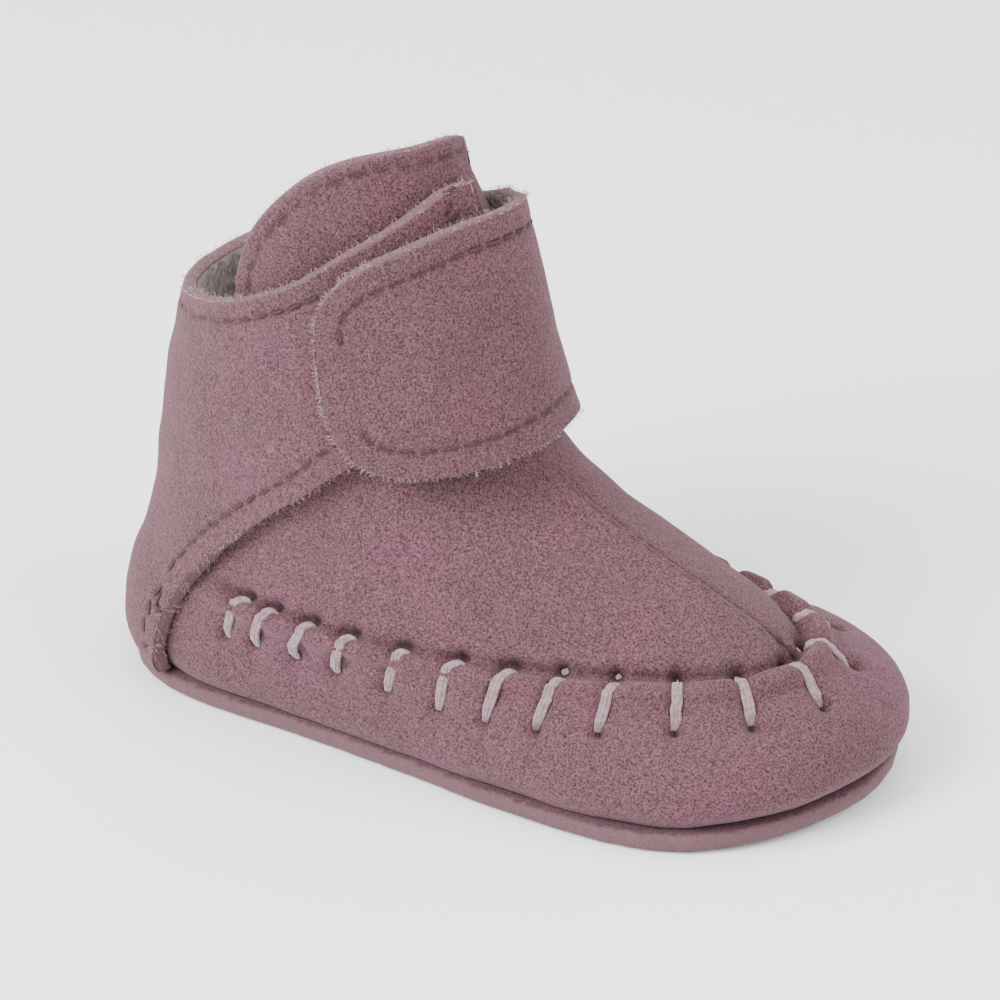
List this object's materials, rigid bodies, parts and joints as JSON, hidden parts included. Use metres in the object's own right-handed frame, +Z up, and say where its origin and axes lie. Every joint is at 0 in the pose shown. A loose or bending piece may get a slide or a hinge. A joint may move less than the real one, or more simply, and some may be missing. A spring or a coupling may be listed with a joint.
{
  "type": "baby moccasin bootie",
  "caption": "Soft suede baby moccasin bootie for the right foot, with whip-stitched vamp, tall tongue, ankle cuff, wrap-over strap and ribbed rubber grips in the sole.",
  "frame": {"origin": "on the floor under the middle of the sole's length", "axes": "+X towards the toe, +Y towards the inner side of the foot, +Z up"},
  "size_m": [0.1234, 0.0574, 0.0904],
  "materials": {
    "suede": "matt napped suede",
    "sole_suede": "matt napped suede",
    "grip_rubber": "satin ribbed rubber",
    "lining": "soft brushed fleece"
  },
  "bodies": {
    "root": {"outsole": "sole_suede", "heel_grip": "grip_rubber", "forefoot_grip": "grip_rubber", "insole": "lining", "upper": "suede", "tongue": "suede", "cuff": "suede", "strap": "suede"}
  },
  "joints": []
}
